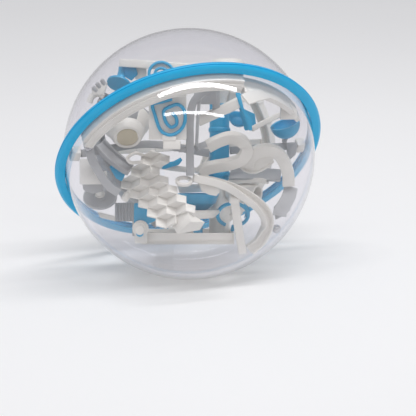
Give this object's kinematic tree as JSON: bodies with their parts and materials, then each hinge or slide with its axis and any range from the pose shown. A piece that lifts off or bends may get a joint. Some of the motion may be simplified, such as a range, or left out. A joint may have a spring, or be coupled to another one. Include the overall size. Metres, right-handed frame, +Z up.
{
  "type": "tilt maze game",
  "caption": "Clear plastic ball in a blue grip ring, holding a maze of white, grey and blue tracks that a loose steel ball is rolled through by tilting the whole toy.",
  "frame": {"origin": "centre of the clear ball, which is also the middle of its bounding box", "axes": "+Z up from the table, +X to the right, -Y towards the player"},
  "size_m": [0.211, 0.1996, 0.2],
  "materials": {
    "clear_shell": "clear, polished",
    "ring_blue": "moulded, soft gloss",
    "maze_blue": "moulded, soft gloss",
    "maze_white": "moulded, warm white",
    "maze_grey": "moulded, satin",
    "cream_window": "moulded, satin",
    "polished_steel": "polished"
  },
  "bodies": {
    "toy": {"rear_dome": "clear_shell", "front_dome": "clear_shell", "front_ring": "ring_blue", "rear_ring": "ring_blue", "right_foot": "maze_white", "rear_foot": "maze_white", "left_foot": "maze_white", "front_foot": "maze_white", "rim_track": "maze_white", "rim_shroud": "maze_white", "core_tower": "maze_blue", "tower_cap": "maze_white", "right_beam": "maze_grey", "left_beam": "maze_grey", "front_beam": "maze_white", "base_tray": "maze_white", "tray_lug": "maze_white", "step_crate": "maze_white", "crate_loop": "maze_white", "clip_panel": "maze_white", "clip_rail": "maze_blue", "corner_box": "maze_white", "funnel_cup": "maze_white", "funnel_window": "cream_window", "curved_rail": "maze_grey", "rail_pin": "polished_steel", "grey_chute": "maze_grey", "left_block": "maze_white", "spinner_pin": "maze_white", "flipper_boss": "maze_white", "boss_upright": "maze_white", "ribbed_wall": "maze_grey", "front_strut": "maze_grey", "strut_arm": "maze_grey", "upper_loop_track": "maze_white", "lower_loop_track": "maze_white", "hook_track": "maze_white", "hook_eye": "maze_white", "hook_post": "maze_white", "grey_strap": "maze_grey", "stem_bowl": "maze_blue", "wire_hoop": "maze_blue", "drop_pipe": "maze_white", "upper_rail": "maze_white", "lower_rail": "maze_white", "rail_hanger": "maze_grey", "link_blade": "maze_blue", "side_cup": "maze_blue", "cup_strut": "maze_grey", "start_plate": "maze_white", "start_spool": "maze_blue", "start_coil": "maze_blue", "stud_block": "maze_grey", "rear_chute": "maze_grey", "rear_spiral": "maze_white", "rear_arch": "maze_white", "rear_bridge": "maze_white"},
    "ball": {"steel_ball": "polished_steel"},
    "spinner": {"spinner_disc": "maze_grey"},
    "paddle": {"flipper": "maze_blue"}
  },
  "joints": [
    {"name": "ball_roll", "type": "hinge", "parent": "toy", "child": "ball", "pos_m": [0, 0, 0], "axis": [0, -0.9511, 0.309], "range_deg": [0, 38]},
    {"name": "spinner_spin", "type": "hinge", "parent": "toy", "child": "spinner", "pos_m": [-0.071, -0.01241, -0.03172], "axis": [0, -0.408, 0.913], "continuous": true},
    {"name": "flipper_tip", "type": "hinge", "parent": "toy", "child": "paddle", "pos_m": [-0.038, -0.03606, -0.04885], "axis": [0, -0.9511, 0.309], "range_deg": [0, 25]}
  ]
}
